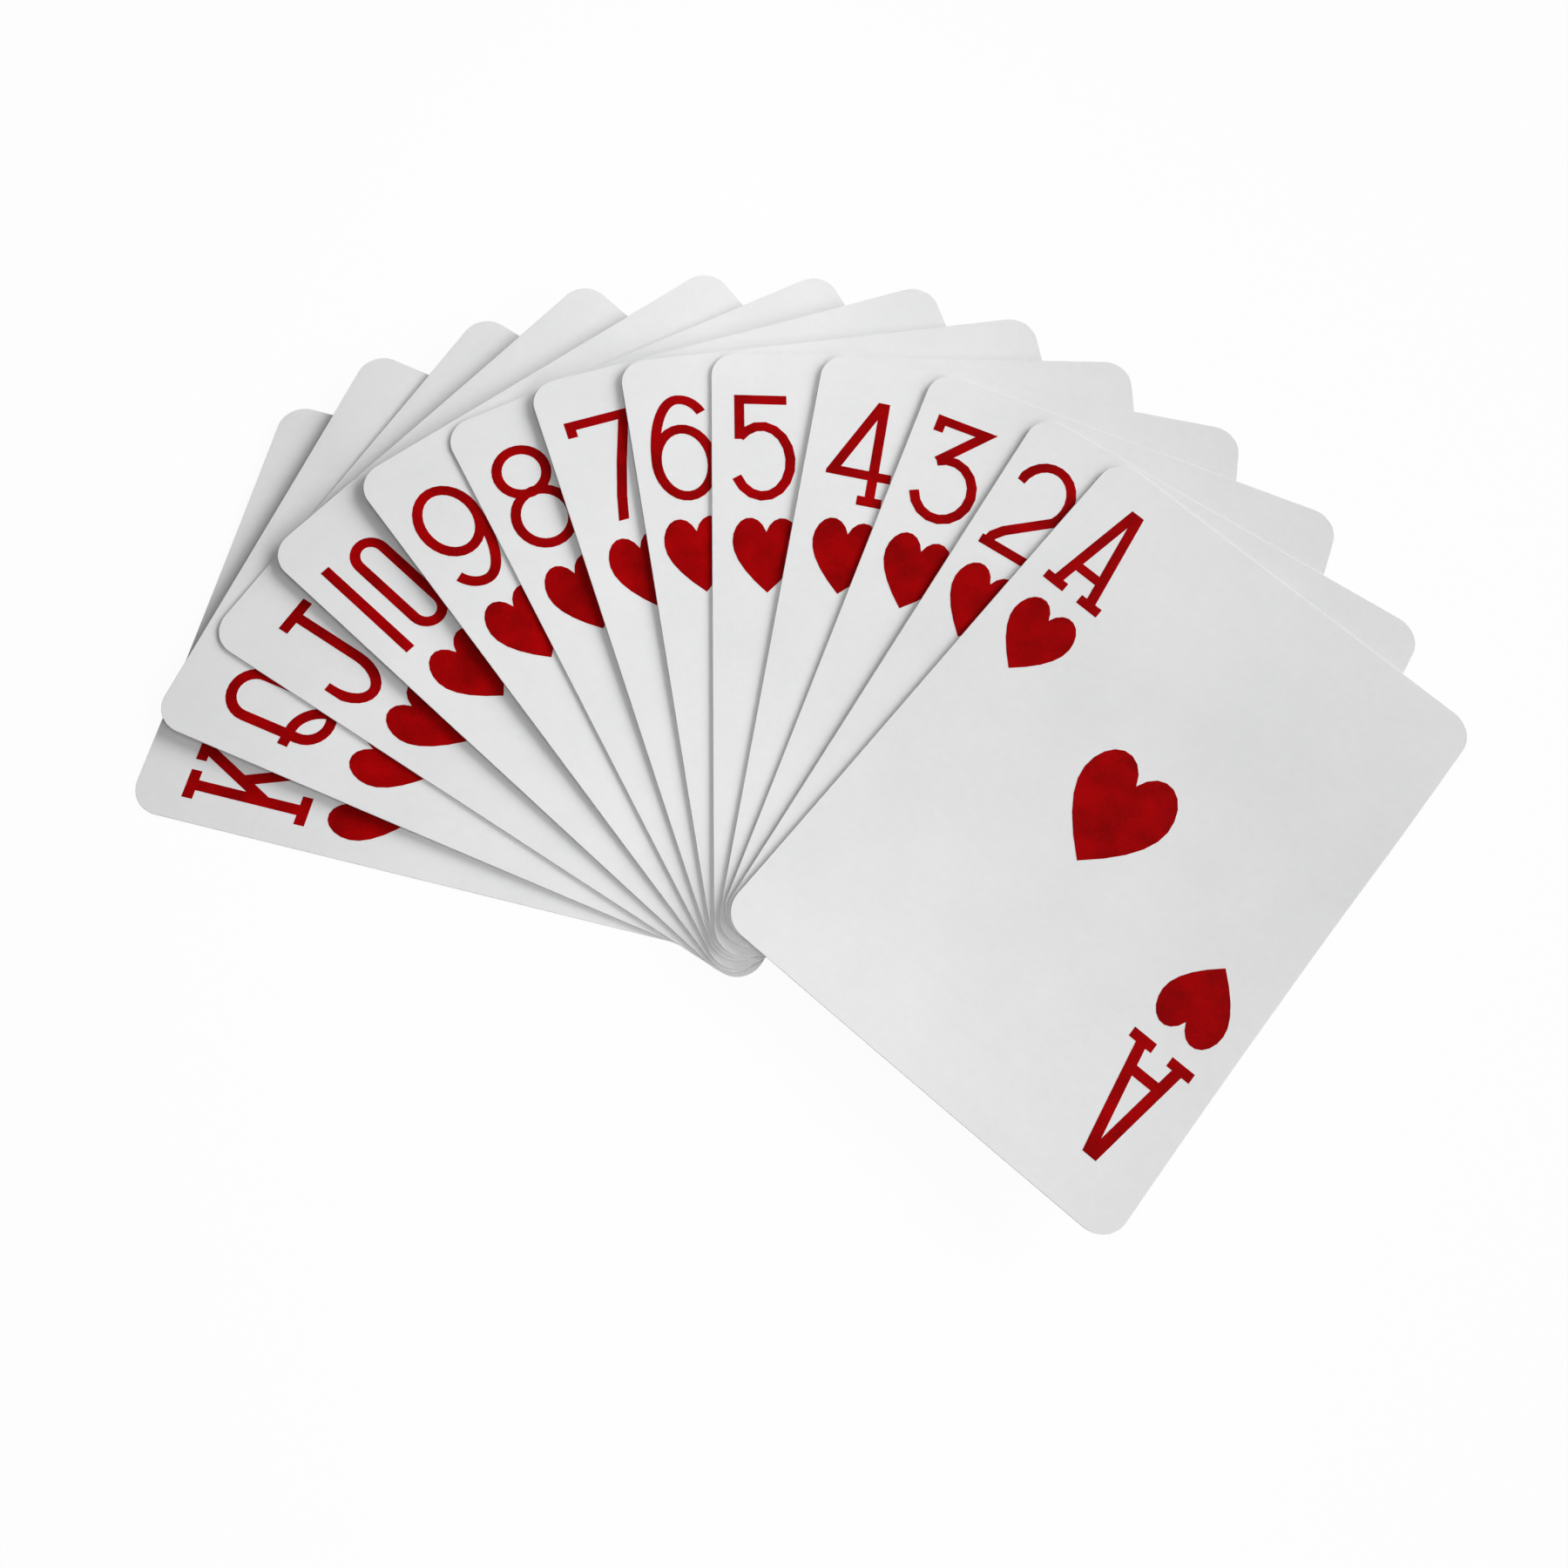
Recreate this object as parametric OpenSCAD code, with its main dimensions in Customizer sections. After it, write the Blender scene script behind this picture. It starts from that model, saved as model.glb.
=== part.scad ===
// Playing cards held in a fan: thirteen cards of the hearts suit, the king lowest and the ace on top.
// Millimetres, +Z up. The cards lie flat and face up, each turned clockwise on the one under it.
// The origin lies under the king, near its lower left corner, where the fan is pinched.

/* [Card] */
// width of one card
card_w = 63; // [57:0.5:72]
// length of one card
card_l = 88; // [84:0.5:104]
// thickness of the card stock
card_t = 0.3; // [0.24:0.01:0.5]
// radius of the rounded corners
corner_r = 3.9; // [2:0.1:6]

/* [Fan] */
// air between the print of one card and the underside of the next
card_gap = 0.18; // [0.06:0.01:0.4]
// direction of the king's bottom edge, in degrees from +X
king_lean = 76; // [40:1:110]
// distance of the origin from the king's left edge and from its bottom edge
origin_in = 8; // [4:0.5:16]
// reach of the zone at the lower left corner where neighbours are pinched together
pinch_zone = 10; // [8:0.5:14]
// turn of the queen on the king, in degrees
queen_turn = 9; // [0:0.5:14]
// turn of the jack on the queen
jack_turn = 10; // [0:0.5:14]
// turn of the ten on the jack
ten_turn = 9.5; // [0:0.5:14]
// turn of the nine on the ten
nine_turn = 10.5; // [0:0.5:14]
// turn of the eight on the nine
eight_turn = 9.5; // [0:0.5:14]
// turn of the seven on the eight
seven_turn = 9; // [0:0.5:14]
// turn of the six on the seven
six_turn = 9; // [0:0.5:14]
// turn of the five on the six
five_turn = 9; // [0:0.5:14]
// turn of the four on the five
four_turn = 11; // [0:0.5:14]
// turn of the three on the four
three_turn = 11; // [0:0.5:14]
// turn of the two on the three
two_turn = 11; // [0:0.5:14]
// turn of the ace on the two
ace_turn = 8.5; // [0:0.5:14]

/* [Print] */
// thickness of the printed ink
ink_t = 0.02; // [0.01:0.005:0.05]
// width of the strokes of a corner figure
stroke_w = 1.45; // [0.8:0.05:2]
// width of a corner figure
index_w = 9.4; // [8:0.1:11]
// height of a corner figure
index_h = 16.8; // [13:0.1:19]
// middle of the corner figure from the left edge of the card
index_in = 8; // [7:0.1:10]
// top of the corner figure from the top edge of the card
index_down = 6.5; // [4:0.1:9]
// length of a slab foot on a stroke
foot_w = 3.6; // [2.4:0.1:4.4]
// height of the heart under the corner figure
small_heart_h = 11.2; // [8:0.1:13]
// space between the corner figure and its heart
small_heart_gap = 2.6; // [1.5:0.1:4]
// height of the heart in the middle of the ace
ace_heart_h = 16.4; // [12:0.1:26]
// height of the pips of the number cards
pip_h = 10; // [6:0.1:11]
// distance of the outer pip columns from the middle
pip_col = 10.5; // [8:0.1:12]
// distance of the outermost pip rows from the middle
pip_row = 28; // [22:0.5:30]
// width of the frame on a court card
court_w = 29; // [24:0.5:34]
// length of the frame on a court card
court_l = 64; // [52:0.5:70]
// width of the frame lines on a court card
court_line = 0.6; // [0.3:0.1:1]
// radius of the beads on the points of a crown
bead_r = 1; // [0.6:0.1:1.4]
// furthest that a print sits off the middle of its card
print_play = 1; // [0.2:0.1:1.5]

/* [Hidden] */
$fn = 48;
// colours of the two materials
stock_tint = [0.88, 0.88, 0.88];
ink_tint = [0.62, 0.01, 0.02];
// height from one card to the next
pitch = card_t + ink_t + card_gap;
// steps along a bend, along a heart's lobe and along its side
bend_n = 14;
lobe_n = 8;
side_n = 5;
// proportions of a heart: width and lobe height over height, lobe width over width, belly of the side
heart_wide_share = 0.86;
lobe_high_share = 0.33;
lobe_wide_share = 0.2625;
belly_share = 0.58;
// proportions of the crown on a court card: width, height and band over the frame's width
crown_wide_share = 0.56;
crown_high_share = 0.4;
crown_band_share = 0.16;
// place of the crown's foot above the middle, over half the frame's length
crown_spot_share = 0.16;
// pip on a court card: size over the other pips, place over the frame's width and length
court_pip_share = 0.7;
court_pip_spot_shares = [-0.3, 0.38];

// cards in order from the king at the bottom to the ace on top
turns = [0, queen_turn, jack_turn, ten_turn, nine_turn, eight_turn, seven_turn,
         six_turn, five_turn, four_turn, three_turn, two_turn, ace_turn];
// where each card is pinched to the one under it, across and along, in shares of the pinch zone
pinch_shares = [[0, 0], [0.9, 1.3], [0.1, 1.1], [1, 0.5], [0.3, 0.2], [0.4, 0.1], [1, 0.1],
                [0.5, 0.1], [0.5, 0.1], [1, 0.1], [1, 0.2], [0.3, 0.1], [0.4, 0.1]];
// how each print sits off the middle, across and along, in shares of the print play
shift_shares = [[-0.3, 0.2], [0.2, -0.4], [-0.6, -0.6], [-0.1, -1], [-0.6, -0.6], [-0.6, -0.2],
                [0, -0.8], [-0.9, 0], [-0.3, -0.5], [0, -0.3], [-0.4, -0.5], [-0.9, 0.1], [-0.1, 0.8]];

// points of a bend about c with half-sizes r, from angle a to angle b, all in shares of a figure
function bend(c, r, a, b) =
    [for (k = [0:bend_n]) let (t = a + (b - a) * k / bend_n) [c.x + r.x * cos(t), c.y + r.y * sin(t)]];

// centre lines of the corner figures in shares of the figure's width and height
king_line_shares = [[[0.18, 0], [0.18, 1]], [[0.86, 1], [0.2, 0.36]], [[0.44, 0.6], [0.88, 0]]];
queen_line_shares = [concat([[-0.05, 0.37]], bend([0.24, 0.03], [0.54, 0.34], 90, 2))];
jack_line_shares = [concat([[0.71, 1]], bend([0.34, 0.31], [0.37, 0.31], 0, -180), [[-0.03, 0.36]])];
ten_line_shares = [[[0, -0.1], [0, 1.1]]];
nine_line_shares = [concat(bend([0.46, 0.68], [0.54, 0.68], 0, -90),
                           bend([0.46, 0.3], [0.46, 0.3], -100, -152))];
seven_line_shares = [[[0, 0.88], [0, 1], [1.1, 1]],
                     [[1.03, 1.04], [0.91, 0.85], [0.69, 0.52], [0.5, 0.19], [0.37, -0.1]]];
six_line_shares = [for (path = nine_line_shares) [for (s = path) [1 - s.x, 1 - s.y]]];
five_line_shares = [[[0.91, 1], [0.04, 1], [0.04, 0.58]],
                    concat([[0.04, 0.6]], bend([0.44, 0.36], [0.52, 0.36], 122, -152))];
four_line_shares = [[[0.8, 1.1], [0.02, 0.265], [1.1, 0.265]], [[0.77, 0], [0.77, 1.1]]];
three_line_shares = [[[0, 0.87], [0, 1], [0.87, 1], [0.18, 0.57]],
                     bend([0.47, 0.31], [0.52, 0.31], 124, -160)];
two_line_shares = [concat(bend([0.47, 0.68], [0.5, 0.32], 174, -34),
                          [[0.2, 0.175], [0.07, 0.08], [0.02, -0.05]]),
                   [[-0.1, 0], [1.04, 0]]];
ace_line_shares = [[[0.48, 1.1], [0.13, 0]], [[0.52, 1.1], [0.87, 0]], [[0.22, 0.25], [0.78, 0.25]]];
line_shares = [king_line_shares, queen_line_shares, jack_line_shares, ten_line_shares,
               nine_line_shares, [], seven_line_shares, six_line_shares, five_line_shares,
               four_line_shares, three_line_shares, two_line_shares, ace_line_shares];

// slab feet of the corner figures: place across and along, length over the foot length
foot_shares = [[[0.18, 0, 1.1], [0.18, 1, 1.1], [0.86, 1, 1.1], [0.86, 0, 1.1]], [], [[0.71, 1, 1.5]],
               [], [], [], [], [], [], [[0.77, 0, 1]], [], [], [[0.12, 0, 1], [0.88, 0, 1]]];

// closed rings of the corner figures: middle, half-sizes of the bends, half the straight between them
ring_shares = [[], [[0.55, 0.54, 0.39, 0.2, 0.26]], [], [[0.73, 0.5, 0.27, 0.15, 0.35]],
               [[0.5, 0.67, 0.5, 0.33, 0]],
               [[0.5, 0.77, 0.44, 0.23, 0], [0.5, 0.275, 0.5, 0.275, 0]],
               [], [[0.5, 0.345, 0.5, 0.345, 0]], [], [], [], [], []];

// pips of the number cards: column and row, in shares of the pip spacing
pair_shares = [[0, 1], [0, -1]];
four_shares = [[-1, 1], [1, 1], [-1, -1], [1, -1]];
six_shares = concat(four_shares, [[-1, 0], [1, 0]]);
eight_shares = concat(four_shares, [[-1, 0.33], [1, 0.33], [-1, -0.33], [1, -0.33]]);
pip_shares = [[], [], [], concat(eight_shares, [[0, 0.67], [0, -0.67]]), concat(eight_shares, [[0, 0]]),
              concat(six_shares, [[0, 0.5], [0, -0.5]]), concat(six_shares, [[0, 0.5]]), six_shares,
              concat(four_shares, [[0, 0]]), four_shares, concat(pair_shares, [[0, 0]]), pair_shares, []];
// points of the crowns on the king, the queen and the jack
crown_points = [5, 4, 3];

// place in millimetres for a place in shares of a corner figure, on the centre lines of its strokes
function spot(s) = [stroke_w / 2 + s.x * (index_w - stroke_w), stroke_w / 2 + s.y * (index_h - stroke_w)];
// unit direction from one point to another, and the same turned to its left
function heading(a, b) = (b - a) / norm(b - a);
function leftward(d) = [-d.y, d.x];
// sideways vector that mitres the stroke at point k of path p
function mitre(p, k) =
    let (last = len(p) - 1)
    let (before = heading(p[max(k - 1, 0)], p[max(k, 1)]))
    let (after = heading(p[min(k, last - 1)], p[min(k + 1, last)]))
    let (m = leftward(before + after) / norm(before + after))
    m / (m * leftward(before));
// closed outline of two half ovals joined by straight sides
function oval(c, r, up) =
    concat([for (k = [0:bend_n]) let (t = 180 * k / bend_n) c + [r.x * cos(t), up + r.y * sin(t)]],
           [for (k = [(up > 0 ? 0 : 1):(up > 0 ? bend_n : bend_n - 1)])
               let (t = 180 + 180 * k / bend_n) c + [r.x * cos(t), r.y * sin(t) - up]]);
// right half of a heart of height h, from the tip at the bottom to the notch between the lobes
function heart_half(h) =
    let (half = h * heart_wide_share / 2)
    let (lobe = [2 * half * lobe_wide_share, h * lobe_high_share])
    let (mid = [half - lobe.x, h - lobe.y])
    let (notch = acos(-mid.x / lobe.x))
    concat([for (k = [0:side_n - 1]) let (t = k / side_n)
               [half * t * (2 - t), mid.y * t * (2 * (1 - t) * belly_share + t)]],
           [for (k = [0:lobe_n]) let (t = notch * k / lobe_n)
               [mid.x + lobe.x * cos(t), mid.y + lobe.y * sin(t)]]);

// heart of height h about its own middle
module heart(h) {
    right = heart_half(h);
    left = [for (k = [len(right) - 2:-1:1]) [-right[k].x, right[k].y]];
    translate([0, -h / 2]) polygon(concat(right, left));
}

// one open stroke along a path given in shares
module stroke(path) {
    p = [for (s = path) spot(s)];
    last = len(p) - 1;
    half = stroke_w / 2;
    polygon(concat([for (k = [0:last]) p[k] - half * mitre(p, k)],
                   [for (k = [last:-1:0]) p[k] + half * mitre(p, k)]));
}

// slab foot across the end of a stroke
module foot(f) {
    translate(spot(f)) square([foot_w * f[2], stroke_w], center = true);
}

// closed ring of a corner figure
module ring(f) {
    box = [index_w - stroke_w, index_h - stroke_w];
    r = [box.x * f[2], box.y * f[3]];
    half = [stroke_w / 2, stroke_w / 2];
    difference() {
        polygon(oval(spot(f), r + half, box.y * f[4]));
        polygon(oval(spot(f), r - half, box.y * f[4]));
    }
}

// corner figure of card i, its lower left corner at zero
module figure(i) {
    intersection() {
        union() {
            for (path = line_shares[i]) stroke(path);
            for (f = foot_shares[i]) foot(f);
            for (f = ring_shares[i]) ring(f);
        }
        square([index_w, index_h]);
    }
}

// corner figure and small heart of card i in its upper left corner
module corner_print(i) {
    translate([index_in - index_w / 2, card_l - index_down - index_h]) figure(i);
    translate([index_in, card_l - index_down - index_h - small_heart_gap - small_heart_h / 2])
        heart(small_heart_h);
}

// pips of number card i about the middle of the card, those below the middle turned over
module pips(i) {
    for (s = pip_shares[i])
        translate([s.x * pip_col, s.y * pip_row]) rotate(s.y < 0 ? 180 : 0) heart(pip_h);
}

// crown with n points standing on its band, a bead on each point
module crown(n) {
    w = court_w * crown_wide_share;
    h = court_w * crown_high_share;
    band = court_w * crown_band_share;
    last = 2 * n - 2;
    rim = [for (k = [0:last]) [w / 2 - w * k / last, k % 2 == 1 ? band : h]];
    polygon(concat([[w / 2, 0]], rim, [[-w / 2, 0]]));
    for (k = [0:2:last]) translate(rim[k]) circle(bead_r);
}

// framed crowns of court card i about the middle of the card, the same from either end
module court(i) {
    difference() {
        square([court_w, court_l], center = true);
        square([court_w - 2 * court_line, court_l - 2 * court_line], center = true);
    }
    square([court_w, court_line], center = true);
    for (end = [0, 180]) rotate(end) {
        translate([0, court_l / 2 * crown_spot_share]) crown(crown_points[i]);
        translate([court_w * court_pip_spot_shares.x, court_l * court_pip_spot_shares.y])
            heart(pip_h * court_pip_share);
    }
}

// everything printed on the face of card i
module face_print(i) {
    translate(print_play * shift_shares[i]) translate([card_w / 2, card_l / 2]) {
        for (end = [0, 180]) rotate(end) translate([-card_w / 2, -card_l / 2]) corner_print(i);
        pips(i);
        if (i < len(crown_points)) court(i);
        if (i == len(turns) - 1) heart(ace_heart_h);
    }
}

// stock of one card, its lower left corner at zero
module card_stock() {
    linear_extrude(card_t) union() {
        translate([corner_r, 0]) square([card_w - 2 * corner_r, card_l]);
        translate([0, corner_r]) square([card_w, card_l - 2 * corner_r]);
        for (x = [corner_r, card_w - corner_r], y = [corner_r, card_l - corner_r])
            translate([x, y]) circle(corner_r);
    }
}

// carries a thing from the frame of one card to the place of card i in the fan
module on_card(i) {
    pinch = pinch_zone * pinch_shares[i];
    if (i == 0)
        rotate(king_lean) translate([-origin_in, -origin_in, 0]) children();
    else
        on_card(i - 1) translate([pinch.x, pinch.y, pitch]) rotate(-turns[i])
            translate([-pinch.x, -pinch.y, 0]) children();
}

// stock of card i and the ink on its face
module stock(i) {
    color(stock_tint) on_card(i) card_stock();
}
module ink(i) {
    color(ink_tint) on_card(i) translate([0, 0, card_t]) linear_extrude(ink_t) face_print(i);
}

module king_card() { stock(0); }
module king_print() { ink(0); }
module queen_card() { stock(1); }
module queen_print() { ink(1); }
module jack_card() { stock(2); }
module jack_print() { ink(2); }
module ten_card() { stock(3); }
module ten_print() { ink(3); }
module nine_card() { stock(4); }
module nine_print() { ink(4); }
module eight_card() { stock(5); }
module eight_print() { ink(5); }
module seven_card() { stock(6); }
module seven_print() { ink(6); }
module six_card() { stock(7); }
module six_print() { ink(7); }
module five_card() { stock(8); }
module five_print() { ink(8); }
module four_card() { stock(9); }
module four_print() { ink(9); }
module three_card() { stock(10); }
module three_print() { ink(10); }
module two_card() { stock(11); }
module two_print() { ink(11); }
module ace_card() { stock(12); }
module ace_print() { ink(12); }

king_card();
king_print();
queen_card();
queen_print();
jack_card();
jack_print();
ten_card();
ten_print();
nine_card();
nine_print();
eight_card();
eight_print();
seven_card();
seven_print();
six_card();
six_print();
five_card();
five_print();
four_card();
four_print();
three_card();
three_print();
two_card();
two_print();
ace_card();
ace_print();
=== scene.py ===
import math

import bmesh
import bpy
from mathutils import Matrix, Vector


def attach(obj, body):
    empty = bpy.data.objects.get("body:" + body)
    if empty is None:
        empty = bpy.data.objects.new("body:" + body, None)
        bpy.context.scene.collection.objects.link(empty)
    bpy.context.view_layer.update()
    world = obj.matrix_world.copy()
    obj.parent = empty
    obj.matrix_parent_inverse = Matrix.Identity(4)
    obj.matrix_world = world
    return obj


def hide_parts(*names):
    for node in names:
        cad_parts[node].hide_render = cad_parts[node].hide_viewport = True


# A fan of hearts cards on white: card stock with softened edges and a slight bow,
# the red print laid on it, a lattice on the backs, studio light from the upper right.

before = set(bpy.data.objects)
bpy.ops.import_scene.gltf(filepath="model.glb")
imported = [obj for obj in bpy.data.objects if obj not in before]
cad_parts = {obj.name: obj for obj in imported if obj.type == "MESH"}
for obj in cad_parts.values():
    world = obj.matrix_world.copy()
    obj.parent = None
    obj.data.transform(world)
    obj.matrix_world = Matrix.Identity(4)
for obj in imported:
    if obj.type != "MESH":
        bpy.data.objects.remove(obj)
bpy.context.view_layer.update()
mm = 0.001
print("frame loaded")


# small helpers for node trees

def newMaterial(name):
    mat = bpy.data.materials.new(name)
    mat.use_nodes = True
    nodes = mat.node_tree.nodes
    nodes.clear()
    out = nodes.new("ShaderNodeOutputMaterial")
    shader = nodes.new("ShaderNodeBsdfPrincipled")
    mat.node_tree.links.new(shader.outputs["BSDF"], out.inputs["Surface"])
    return mat, mat.node_tree, shader


def fillInputs(tree, node, inputs):
    # links what comes from another node, sets plain values on the socket itself
    for key, value in inputs.items():
        if isinstance(value, bpy.types.NodeSocket):
            tree.links.new(value, node.inputs[key])
        else:
            node.inputs[key].default_value = value


def addNode(tree, kind, inputs=None, **settings):
    node = tree.nodes.new(kind)
    for key, value in settings.items():
        setattr(node, key, value)
    fillInputs(tree, node, inputs or {})
    return node


def mathNode(tree, operation, a, b=0.0):
    return addNode(tree, "ShaderNodeMath", {0: a, 1: b}, operation=operation).outputs[0]


def mixColors(tree, factor, a, b):
    return addNode(tree, "ShaderNodeMix", {0: factor, 6: a, 7: b}, data_type="RGBA").outputs[2]


def mapRange(tree, value, span, toMin=0.0, toMax=1.0):
    node = addNode(tree, "ShaderNodeMapRange", {"Value": value, "From Min": span[0], "From Max": span[1],
                                                "To Min": toMin, "To Max": toMax})
    return node.outputs[0]


def position(tree):
    return addNode(tree, "ShaderNodeNewGeometry").outputs["Position"]


def noise(tree, vector, scale, detail=3.0, roughness=0.5):
    node = addNode(tree, "ShaderNodeTexNoise", {"Vector": vector, "Scale": scale, "Detail": detail,
                                                "Roughness": roughness})
    return node.outputs["Fac"]


def mottle(tree, look):
    # soft clouds with fine grain in them: the clouds alone, and both together from 0 to 1
    place = position(tree)
    cloud = noise(tree, place, look["cloudScale"], look["cloudDetail"], look["cloudRoughness"])
    grain = noise(tree, place, look["grainScale"], look["grainDetail"])
    blend = mathNode(tree, "ADD", mathNode(tree, "MULTIPLY", cloud, look["cloudShare"]),
                     mathNode(tree, "MULTIPLY", grain, 1.0 - look["cloudShare"]))
    return cloud, mapRange(tree, blend, look["blendSpan"])


# cards

cardLook = {
    "width": 63.0,          # mm, as the CAD card
    "length": 88.0,
    "thickness": 0.30,
    "cornerRadius": 3.9,
    "cornerSteps": 14,
    "edgeSoft": 0.07,       # rounding of the cut edge, mm
    "edgeSteps": 2,
    "edgeProfile": 0.5,     # a round arc
    "flatShare": 0.9,       # upright part of the normal from which a face is the front or the back
    "bowFoot": 6.0,         # height above the bottom edge where the bow begins, mm
    "bowHead": 72.0,        # height where it is full
    "tip": 0.6,             # further lift of the top end of every card but the king, mm
    "tipFoot": 50.0,
    "looseHead": 60.0,      # height where the lift of a lower right corner ends
    "cut": 3.0,             # size of the facets, mm
    "cutNear": 1e-5,        # a point this near to a cut lies on it, mm
    "levelNear": 1e-6,      # ends this near in height make a level edge, mm
}

# name, turn on the card below (degrees), pinch point on both cards (mm),
# lift of the top end, of the top right corner and of the lower right corner (mm)
fan = [
    ("king", 0.0, (0, 0), (0.00, 1.2, 0.0)),
    ("queen", 9.0, (9, 13), (0.85, 0.6, 0.0)),
    ("jack", 10.0, (1, 11), (0.78, 1.0, 0.0)),
    ("ten", 9.5, (10, 5), (1.70, 1.0, 0.0)),
    ("nine", 10.5, (3, 2), (2.75, 0.4, 0.0)),
    ("eight", 9.5, (4, 1), (2.67, 0.8, 0.0)),
    ("seven", 9.0, (10, 1), (3.30, 0.8, 0.0)),
    ("six", 9.0, (5, 1), (3.65, 0.4, 0.0)),
    ("five", 9.0, (5, 1), (3.57, 0.7, 0.0)),
    ("four", 11.0, (10, 1), (3.70, 0.6, 0.0)),
    ("three", 11.0, (10, 2), (3.80, 0.5, 0.0)),
    ("two", 11.0, (3, 1), (3.90, 0.4, 0.0)),
    ("ace", 8.5, (4, 1), (3.95, 0.3, 2.5)),
]

fanLook = {
    "pitch": 0.5,           # mm from one card to the next
    "kingLean": 76.0,       # degrees
    "kingOrigin": 8.0,      # mm from the king's left and bottom edges to the origin
}


def fanPlaces():
    inset = fanLook["kingOrigin"]
    place = (Matrix.Rotation(math.radians(fanLook["kingLean"]), 4, "Z")
             @ Matrix.Translation((-inset, -inset, 0)))
    places = []
    for index, (name, turn, pinch, lifts) in enumerate(fan):
        if index:
            spot = Vector((pinch[0], pinch[1], 0))
            lift = Matrix.Translation((0, 0, fanLook["pitch"]))
            place = (place @ Matrix.Translation(spot) @ lift
                     @ Matrix.Rotation(math.radians(-turn), 4, "Z") @ Matrix.Translation(-spot))
        places.append(place)
    return places


def easeUp(value, low, high):
    t = min(1.0, max(0.0, (value - low) / (high - low)))
    return t * t * (3 - 2 * t)


def cardLift(a, b, lifts):
    # a card leaves the one below from the pinch upward, its right corners a little more
    bow, topCorner, lowCorner = lifts
    across = min(1.0, max(0.0, a / cardLook["width"])) ** 2
    tip = cardLook["tip"] if bow > 0 else 0.0
    return (bow * easeUp(b, cardLook["bowFoot"], cardLook["bowHead"])
            + (tip + topCorner * across) * easeUp(b, cardLook["tipFoot"], cardLook["length"])
            + lowCorner * across * (1.0 - easeUp(b, 0.0, cardLook["looseHead"])))


def sliceGrid(bm):
    # cuts along and across, so that straight facets can follow the bow
    for axis, size in ((Vector((1, 0, 0)), cardLook["width"]), (Vector((0, 1, 0)), cardLook["length"])):
        for step in range(1, math.ceil(size / cardLook["cut"])):
            bmesh.ops.bisect_plane(bm, geom=bm.verts[:] + bm.edges[:] + bm.faces[:],
                                   plane_co=axis * step * cardLook["cut"], plane_no=axis,
                                   dist=cardLook["cutNear"])


def cardBlank():
    # one flat card in its own millimetres, lower left corner at zero
    w, l, r, n = (cardLook[k] for k in ("width", "length", "cornerRadius", "cornerSteps"))
    bm = bmesh.new()
    verts = []
    for cx, cy, start in ((w - r, r, -90), (w - r, l - r, 0), (r, l - r, 90), (r, r, 180)):
        for k in range(n + 1):
            angle = math.radians(start + 90 * k / n)
            verts.append(bm.verts.new((cx + r * math.cos(angle), cy + r * math.sin(angle), 0)))
    base = bm.faces.new(verts)
    made = bmesh.ops.extrude_face_region(bm, geom=[base])["geom"]
    for v in made:
        if isinstance(v, bmesh.types.BMVert):
            v.co.z = cardLook["thickness"]
    bmesh.ops.recalc_face_normals(bm, faces=bm.faces[:])
    rims = [e for e in bm.edges if abs(e.verts[0].co.z - e.verts[1].co.z) < cardLook["levelNear"]]
    bmesh.ops.bevel(bm, geom=rims, offset=cardLook["edgeSoft"], offset_type="OFFSET",
                    segments=cardLook["edgeSteps"], profile=cardLook["edgeProfile"], affect="EDGES")
    bm.normal_update()
    flat = cardLook["flatShare"]
    for f in bm.faces:
        f.material_index = 0 if f.normal.z > flat else 2 if f.normal.z < -flat else 1
        f.smooth = f.material_index == 1
    sliceGrid(bm)
    mesh = bpy.data.meshes.new("cardBlank")
    bm.to_mesh(mesh)
    bm.free()
    return mesh


def bowed(bm, place, lifts):
    # bends a piece lying in card millimetres, notes where each point was, and carries it to the fan
    spots = bm.loops.layers.uv.new("cardSpot")
    for f in bm.faces:
        for loop in f.loops:
            loop[spots].uv = (loop.vert.co.x * mm, loop.vert.co.y * mm)
    for v in bm.verts:
        v.co.z += cardLift(v.co.x, v.co.y, lifts)
    bm.transform(Matrix.Scale(mm, 4) @ place)


def finishPiece(bm, name, materials):
    mesh = bpy.data.meshes.new(name)
    bm.to_mesh(mesh)
    bm.free()
    for mat in materials:
        mesh.materials.append(mat)
    piece = bpy.data.objects.new(name, mesh)
    bpy.context.scene.collection.objects.link(piece)
    return piece


# stock, edge and back

stockLook = {
    "light": (0.83, 0.83, 0.83, 1),
    "dark": (0.775, 0.777, 0.78, 1),
    "cloudScale": 60.0,         # cloudiness of the coating, per metre
    "cloudDetail": 4.0,
    "cloudRoughness": 0.6,
    "cloudShare": 0.75,         # the rest is fibre
    "grainScale": 900.0,
    "grainDetail": 2.0,
    "blendSpan": (0.32, 0.68),
    "linenStep": 0.42,          # mm between the pressed rows
    "linenDepth": 0.05,         # strength of the pressing
    "linenRise": 0.02,          # its height, mm
    "roughness": (0.6, 0.72),
    "roughSpan": (0.3, 0.7),    # part of the clouds that the roughness follows
    "specular": 0.10,
}


def cardSpot(tree):
    return addNode(tree, "ShaderNodeUVMap", uv_map="cardSpot").outputs["UV"]


def linenBump(tree):
    # air-cushion finish: crossed fine rows pressed into the coating
    parts = addNode(tree, "ShaderNodeSeparateXYZ", {"Vector": cardSpot(tree)})
    rows = []
    for axis in ("X", "Y"):
        angle = mathNode(tree, "MULTIPLY", parts.outputs[axis], 2 * math.pi / (stockLook["linenStep"] * mm))
        rows.append(mathNode(tree, "SINE", angle))
    bump = addNode(tree, "ShaderNodeBump", {"Height": mathNode(tree, "ADD", rows[0], rows[1]),
                                            "Strength": stockLook["linenDepth"],
                                            "Distance": stockLook["linenRise"] * mm})
    return bump.outputs["Normal"]


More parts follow.
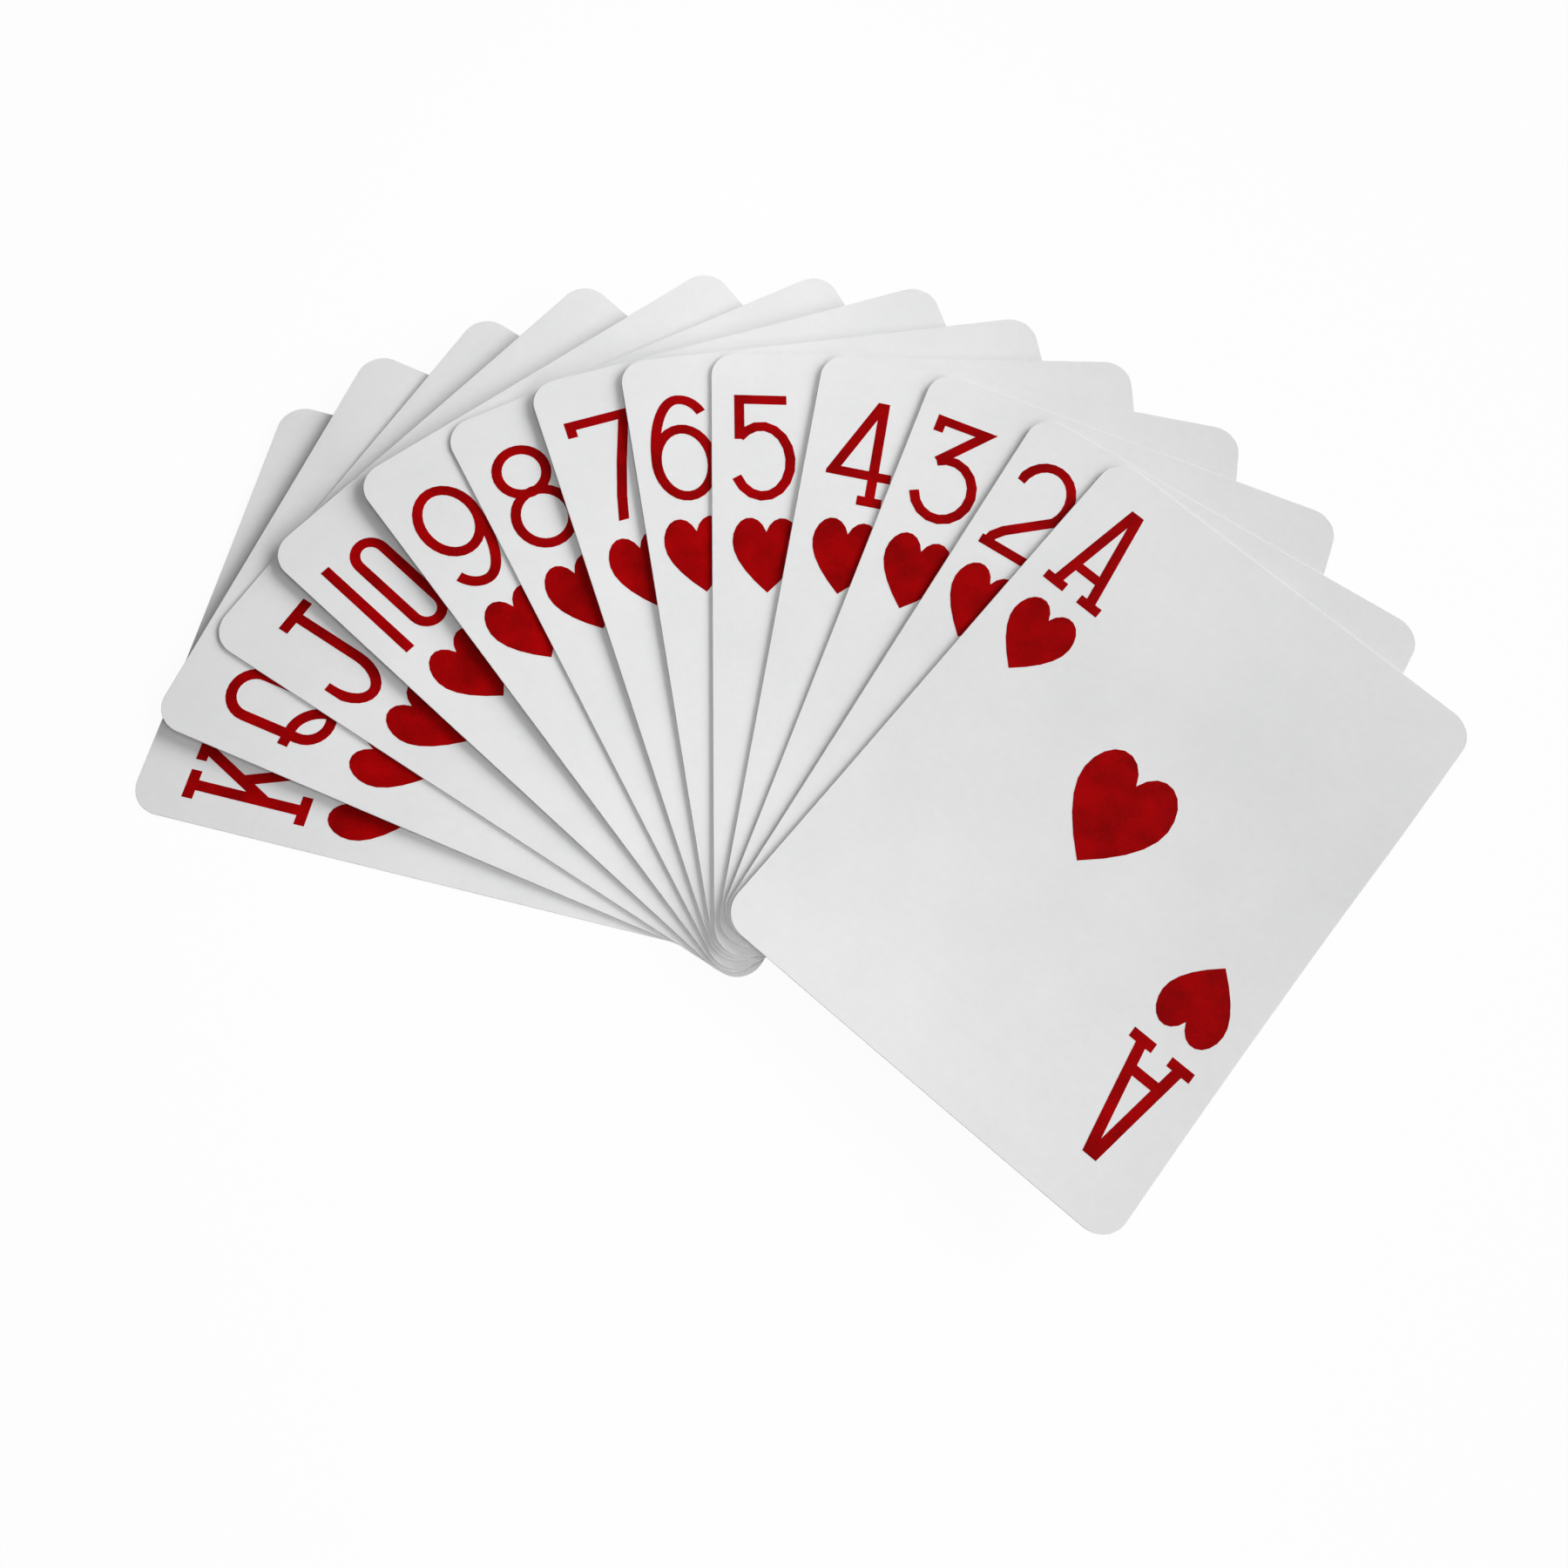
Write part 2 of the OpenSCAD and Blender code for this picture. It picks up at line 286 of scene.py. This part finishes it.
def makeStock():
    mat, tree, shader = newMaterial("cardStock")
    cloud, factor = mottle(tree, stockLook)
    fillInputs(tree, shader, {
        "Base Color": mixColors(tree, factor, stockLook["dark"], stockLook["light"]),
        "Roughness": mapRange(tree, cloud, stockLook["roughSpan"], *stockLook["roughness"]),
        "Specular IOR Level": stockLook["specular"],
        "Normal": linenBump(tree),
    })
    return mat


edgeLook = {
    "core": (0.72, 0.715, 0.70, 1),
    "skin": (0.84, 0.84, 0.83, 1),
    "fibreScale": 2500.0,
    "blendSpan": (0.35, 0.65),
    "roughness": 0.7,
}


def makeEdge():
    # cut edge: greyer core and white skins, mixed by the fibre
    mat, tree, shader = newMaterial("cardEdge")
    fibre = noise(tree, position(tree), edgeLook["fibreScale"])
    factor = mapRange(tree, fibre, edgeLook["blendSpan"])
    fillInputs(tree, shader, {
        "Base Color": mixColors(tree, factor, edgeLook["core"], edgeLook["skin"]),
        "Roughness": edgeLook["roughness"],
    })
    return mat


backLook = {
    "ink": (0.33, 0.006, 0.012, 1),
    "paper": (0.80, 0.80, 0.79, 1),
    "margin": 4.0,          # white border, mm
    "step": 4.5,            # lattice pitch, mm
    "line": 0.16,           # width of the white lattice lines, share of the pitch
    "dot": 0.14,            # radius of the white dots, share of the pitch
    "cloudScale": 300.0,
    "cloudSpan": (0.3, 0.7),
    "cloudShare": 0.14,     # most that the paper shows through the ink
    "roughness": 0.45,
}


def makeBack():
    # plain diamond lattice inside a white margin
    mat, tree, shader = newMaterial("cardBack")
    parts = addNode(tree, "ShaderNodeSeparateXYZ", {"Vector": cardSpot(tree)})
    x, y = parts.outputs["X"], parts.outputs["Y"]
    cells = []
    for operation in ("ADD", "SUBTRACT"):
        along = mathNode(tree, "DIVIDE", mathNode(tree, operation, x, y), backLook["step"] * mm)
        fromMid = mathNode(tree, "SUBTRACT", mathNode(tree, "FRACT", along), 0.5)
        cells.append(mathNode(tree, "ABSOLUTE", fromMid))
    nearLine = mathNode(tree, "MAXIMUM", cells[0], cells[1])
    lines = mathNode(tree, "GREATER_THAN", nearLine, 0.5 - backLook["line"] / 2)
    reach = mathNode(tree, "SQRT", mathNode(tree, "ADD", mathNode(tree, "POWER", cells[0], 2.0),
                                            mathNode(tree, "POWER", cells[1], 2.0)))
    dots = mathNode(tree, "LESS_THAN", reach, backLook["dot"])
    white = mathNode(tree, "MAXIMUM", lines, dots)
    inside = None
    for value, size in ((x, cardLook["width"] * mm), (y, cardLook["length"] * mm)):
        fromMid = mathNode(tree, "ABSOLUTE", mathNode(tree, "SUBTRACT", value, size / 2))
        fits = mathNode(tree, "LESS_THAN", fromMid, size / 2 - backLook["margin"] * mm)
        inside = fits if inside is None else mathNode(tree, "MULTIPLY", inside, fits)
    inked = mathNode(tree, "MULTIPLY", inside, mathNode(tree, "SUBTRACT", 1.0, white))
    cloud = mapRange(tree, noise(tree, position(tree), backLook["cloudScale"]), backLook["cloudSpan"],
                     toMax=backLook["cloudShare"])
    inkTone = mixColors(tree, cloud, backLook["ink"], backLook["paper"])
    fillInputs(tree, shader, {
        "Base Color": mixColors(tree, inked, backLook["paper"], inkTone),
        "Roughness": backLook["roughness"],
    })
    return mat


# red print

inkLook = {
    "deep": (0.225, 0.0008, 0.0012, 1),
    "bright": (0.39, 0.001, 0.002, 1),
    "cloudScale": 220.0,
    "cloudDetail": 3.0,
    "cloudRoughness": 0.5,
    "cloudShare": 0.7,      # the rest is grain
    "grainScale": 2600.0,
    "grainDetail": 2.0,
    "blendSpan": (0.35, 0.65),
    "roughness": 0.6,
    "specular": 0.02,
    "float": 0.004,         # mm that the print stands clear of the stock
    "weldNear": 1e-4,       # points of the CAD print this near become one, mm
}


def makeInk():
    mat, tree, shader = newMaterial("redInk")
    cloud, factor = mottle(tree, inkLook)
    fillInputs(tree, shader, {
        "Base Color": mixColors(tree, factor, inkLook["deep"], inkLook["bright"]),
        "Roughness": inkLook["roughness"],
        "Specular IOR Level": inkLook["specular"],
        "Normal": linenBump(tree),
    })
    return mat


stockMat, edgeMat, backMat, inkMat = makeStock(), makeEdge(), makeBack(), makeInk()
print("materials made")

blank = cardBlank()
for (name, turn, pinch, lifts), place in zip(fan, fanPlaces()):
    bm = bmesh.new()
    bm.from_mesh(blank)
    bowed(bm, place, lifts)
    card = finishPiece(bm, name + "_stock", (stockMat, edgeMat, backMat))
    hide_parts(name + "_card")
    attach(card, name)

    # the print takes its outline from the CAD print, laid back onto the flat card to be cut and bowed
    bm = bmesh.new()
    bm.from_mesh(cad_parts[name + "_print"].data)
    bm.transform(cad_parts[name + "_print"].matrix_world)
    bm.transform((Matrix.Scale(mm, 4) @ place).inverted())
    bmesh.ops.remove_doubles(bm, verts=bm.verts[:], dist=inkLook["weldNear"])
    for v in bm.verts:
        v.co.z += inkLook["float"]
    sliceGrid(bm)
    bowed(bm, place, lifts)
    bm.normal_update()
    film = finishPiece(bm, name + "_ink", (inkMat,))
    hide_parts(name + "_print")
    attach(film, name)
print("cards made")


# floor, light and camera

stageLook = {
    "white": (1, 1, 1, 1),
    "floorTone": (0.86, 0.86, 0.86, 1),
    "floorShade": (0.8, 0.8, 0.8, 1),
    "floorCloudScale": 8.0,
    "floorCloudSpan": (0.3, 0.7),
    "floorCloudShare": 0.05,    # most that the shade shows in the tone
    "floorRoughness": 0.9,
    "floorGlow": 0.95,          # share of plain white seen in the floor
    "floorSize": 6.0,           # metres
    "floorDrop": 0.02,          # mm below the lowest card
    "worldTone": (0.98, 0.99, 1.0, 1),
    "worldLevel": 0.06,
}

# power in watts, place and target, width of the disc in metres, spread in degrees
lampLook = {
    # low and wide, from the upper right
    "keyLight": (86.0, (2.47, 0.90, 1.5), (0.01, 0.03, 0.0), 1.95, 180),
    # lower right, draws the top edges of the cards
    "sideLight": (35.0, (2.35, -1.36, 1.27), (0.01, 0.03, 0.0), 1.6, 180),
    # close over the pinch, so that the tone falls off outward
    "topLight": (0.082, (-0.005, -0.005, 0.19), (0.01, 0.03, 0.0), 0.08, 180),
    # small lamps with a narrower beam: the far ends of the fan, and its foot
    "rearLight": (0.0072, (0.0, 0.13, 0.075), (0.0, 0.094, 0.005), 0.05, 120),
    "frontLight": (0.0093, (-0.007, -0.205, 0.105), (0.012, -0.008, 0.002), 0.048, 52),
}


def seenDirectly(tree):
    # 1 for the camera and for what it sees in shiny or clear surfaces
    path = addNode(tree, "ShaderNodeLightPath")
    seen = path.outputs["Is Camera Ray"]
    for name in ("Is Glossy Ray", "Is Transmission Ray"):
        seen = mathNode(tree, "MAXIMUM", seen, path.outputs[name])
    return seen


def makeFloor():
    mat, tree, shader = newMaterial("floorWhite")
    cloud = mapRange(tree, noise(tree, position(tree), stageLook["floorCloudScale"]),
                     stageLook["floorCloudSpan"], toMax=stageLook["floorCloudShare"])
    fillInputs(tree, shader, {
        "Base Color": mixColors(tree, cloud, stageLook["floorTone"], stageLook["floorShade"]),
        "Roughness": stageLook["floorRoughness"],
    })
    glow = addNode(tree, "ShaderNodeEmission", {"Color": stageLook["white"], "Strength": 1.0})
    seen = mathNode(tree, "MULTIPLY", seenDirectly(tree), stageLook["floorGlow"])
    mix = addNode(tree, "ShaderNodeMixShader", {0: seen, 1: shader.outputs["BSDF"],
                                                2: glow.outputs["Emission"]})
    out = next(n for n in tree.nodes if n.type == "OUTPUT_MATERIAL")
    tree.links.new(mix.outputs[0], out.inputs["Surface"])
    bpy.ops.mesh.primitive_plane_add(size=stageLook["floorSize"],
                                     location=(0, 0, -stageLook["floorDrop"] * mm))
    floor = bpy.context.object
    floor.name = "floor"
    floor.data.materials.append(mat)


def makeLamp(name, power, spot, target, size, spread):
    data = bpy.data.lights.new(name, "AREA")
    data.shape = "DISK"
    data.size = size
    data.energy = power
    data.spread = math.radians(spread)
    lamp = bpy.data.objects.new(name, data)
    bpy.context.scene.collection.objects.link(lamp)
    lamp.location = spot
    lamp.rotation_mode = "QUATERNION"
    lamp.rotation_quaternion = (Vector(target) - Vector(spot)).to_track_quat("-Z", "Y")


def makeWorld():
    world = bpy.data.worlds.new("studio")
    bpy.context.scene.world = world
    world.use_nodes = True
    tree = world.node_tree
    tree.nodes.clear()
    out = tree.nodes.new("ShaderNodeOutputWorld")
    soft = addNode(tree, "ShaderNodeBackground", {"Color": stageLook["worldTone"],
                                                  "Strength": stageLook["worldLevel"]})
    plain = addNode(tree, "ShaderNodeBackground", {"Color": stageLook["white"], "Strength": 1.0})
    mix = addNode(tree, "ShaderNodeMixShader", {0: seenDirectly(tree), 1: soft.outputs[0],
                                                2: plain.outputs[0]})
    tree.links.new(mix.outputs[0], out.inputs["Surface"])


cameraLook = {
    "spot": (-0.005015, -0.028267, 0.158404),
    "right": (0.99668, -0.01343, 0.08028),
    "back": (-0.08095, -0.26636, 0.96047),
    "lens": 26.995,
    "sensor": 36.0,         # mm
    "near": 0.002,          # metres
    "far": 20.0,
}


def makeCamera():
    data = bpy.data.cameras.new("camera")
    data.sensor_width = cameraLook["sensor"]
    data.lens = cameraLook["lens"]
    data.clip_start = cameraLook["near"]
    data.clip_end = cameraLook["far"]
    data.dof.use_dof = False
    camera = bpy.data.objects.new("camera", data)
    bpy.context.scene.collection.objects.link(camera)
    back = Vector(cameraLook["back"]).normalized()
    right = Vector(cameraLook["right"])
    right = (right - back * right.dot(back)).normalized()
    up = back.cross(right)
    turn = Matrix((right, up, back)).transposed().to_4x4()
    camera.matrix_world = Matrix.Translation(cameraLook["spot"]) @ turn
    bpy.context.scene.camera = camera


makeFloor()
makeWorld()
for name, settings in lampLook.items():
    makeLamp(name, *settings)
makeCamera()
bpy.context.scene.view_settings.view_transform = "Standard"
print("stage, light and camera made")
